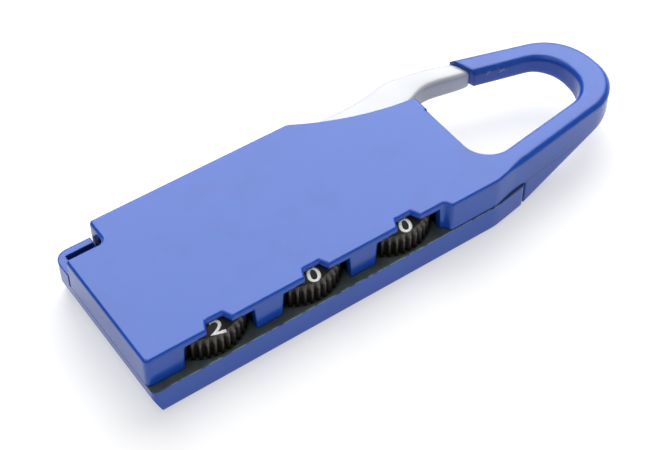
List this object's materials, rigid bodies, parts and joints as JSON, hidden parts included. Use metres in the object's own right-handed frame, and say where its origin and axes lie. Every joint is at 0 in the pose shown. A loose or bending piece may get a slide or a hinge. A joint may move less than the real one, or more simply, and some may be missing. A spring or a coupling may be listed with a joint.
{
  "type": "combination padlock",
  "caption": "Flat luggage padlock in a carabiner shape, with number dials along one edge and a spring gate that closes the hook.",
  "frame": {"origin": "on the back cover's plane, under the middle of the overall box", "axes": "+X along the dial edge from the plain end to the hook, +Y from the dial edge to the gate edge, +Z from the back cover up to the top face"},
  "size_m": [0.085, 0.0274, 0.01],
  "materials": {
    "blue_paint": "smooth gloss paint over die-cast zinc",
    "silver_paint": "satin silver paint over die-cast zinc",
    "dial_plastic": "moulded black, faintly glossy",
    "cam_brass": "turned",
    "bar_steel": "stamped, bright",
    "spring_steel": "drawn wire and strip",
    "screw_steel": "zinc plated"
  },
  "bodies": {
    "body": {"upper_housing": "blue_paint", "lower_cover": "blue_paint", "cover_screws": "screw_steel", "gate_pivot_pin": "screw_steel", "gate_spring": "spring_steel", "detent_spring_1": "spring_steel", "detent_spring_2": "spring_steel", "detent_spring_3": "spring_steel", "locking_bar_springs": "spring_steel", "reset_spring": "spring_steel"},
    "gate": {"gate_lever": "silver_paint"},
    "bar": {"locking_bar": "bar_steel"},
    "reset": {"reset_slide": "bar_steel"},
    "dial_1": {"dial_1": "dial_plastic", "cam_spring_1": "spring_steel"},
    "cam_1": {"cam_1": "cam_brass"},
    "dial_2": {"dial_2": "dial_plastic", "cam_spring_2": "spring_steel"},
    "cam_2": {"cam_2": "cam_brass"},
    "dial_3": {"dial_3": "dial_plastic", "cam_spring_3": "spring_steel"},
    "cam_3": {"cam_3": "cam_brass"}
  },
  "joints": [
    {"name": "gate_swing", "type": "hinge", "parent": "body", "child": "gate", "pos_m": [-0.0085, 0.0058, 0.007], "axis": [0, 0, 1], "range_deg": [-16, 0], "stiffness_Nm_per_rad": 0.02, "springref_deg": 20.05, "deforming": ["gate_spring"]},
    {"name": "bar_slide", "type": "slide", "parent": "body", "child": "bar", "axis": [0, 1, 0], "range_m": [-0.0015, 0], "deforming": ["locking_bar_springs"]},
    {"name": "reset_travel", "type": "slide", "parent": "body", "child": "reset", "axis": [1, 0, 0], "range_m": [0, 0.002], "stiffness_N_per_m": 60, "springref_m": -0.002, "deforming": ["reset_spring"]},
    {"name": "dial_1_spin", "type": "hinge", "parent": "body", "child": "dial_1", "pos_m": [-0.0313, -0.00615, 0.0066], "axis": [0, 0, 1], "continuous": true, "deforming": ["detent_spring_1"]},
    {"name": "cam_1_lift", "type": "slide", "parent": "dial_1", "child": "cam_1", "axis": [0, 0, 1], "range_m": [0, 0.001], "deforming": ["cam_spring_1"]},
    {"name": "dial_2_spin", "type": "hinge", "parent": "body", "child": "dial_2", "pos_m": [-0.0159, -0.00615, 0.0066], "axis": [0, 0, 1], "continuous": true, "deforming": ["detent_spring_2"]},
    {"name": "cam_2_lift", "type": "slide", "parent": "dial_2", "child": "cam_2", "axis": [0, 0, 1], "range_m": [0, 0.001], "deforming": ["cam_spring_2"]},
    {"name": "dial_3_spin", "type": "hinge", "parent": "body", "child": "dial_3", "pos_m": [-0.0005, -0.00615, 0.0066], "axis": [0, 0, 1], "continuous": true, "deforming": ["detent_spring_3"]},
    {"name": "cam_3_lift", "type": "slide", "parent": "dial_3", "child": "cam_3", "axis": [0, 0, 1], "range_m": [0, 0.001], "deforming": ["cam_spring_3"]}
  ],
  "couplings": [
    {"joint": "bar_slide", "follows": "gate_swing", "m_per_rad": 0.00537},
    {"joint": "cam_1_lift", "follows": "reset_travel", "ratio": 0.5},
    {"joint": "cam_2_lift", "follows": "reset_travel", "ratio": 0.5},
    {"joint": "cam_3_lift", "follows": "reset_travel", "ratio": 0.5}
  ]
}
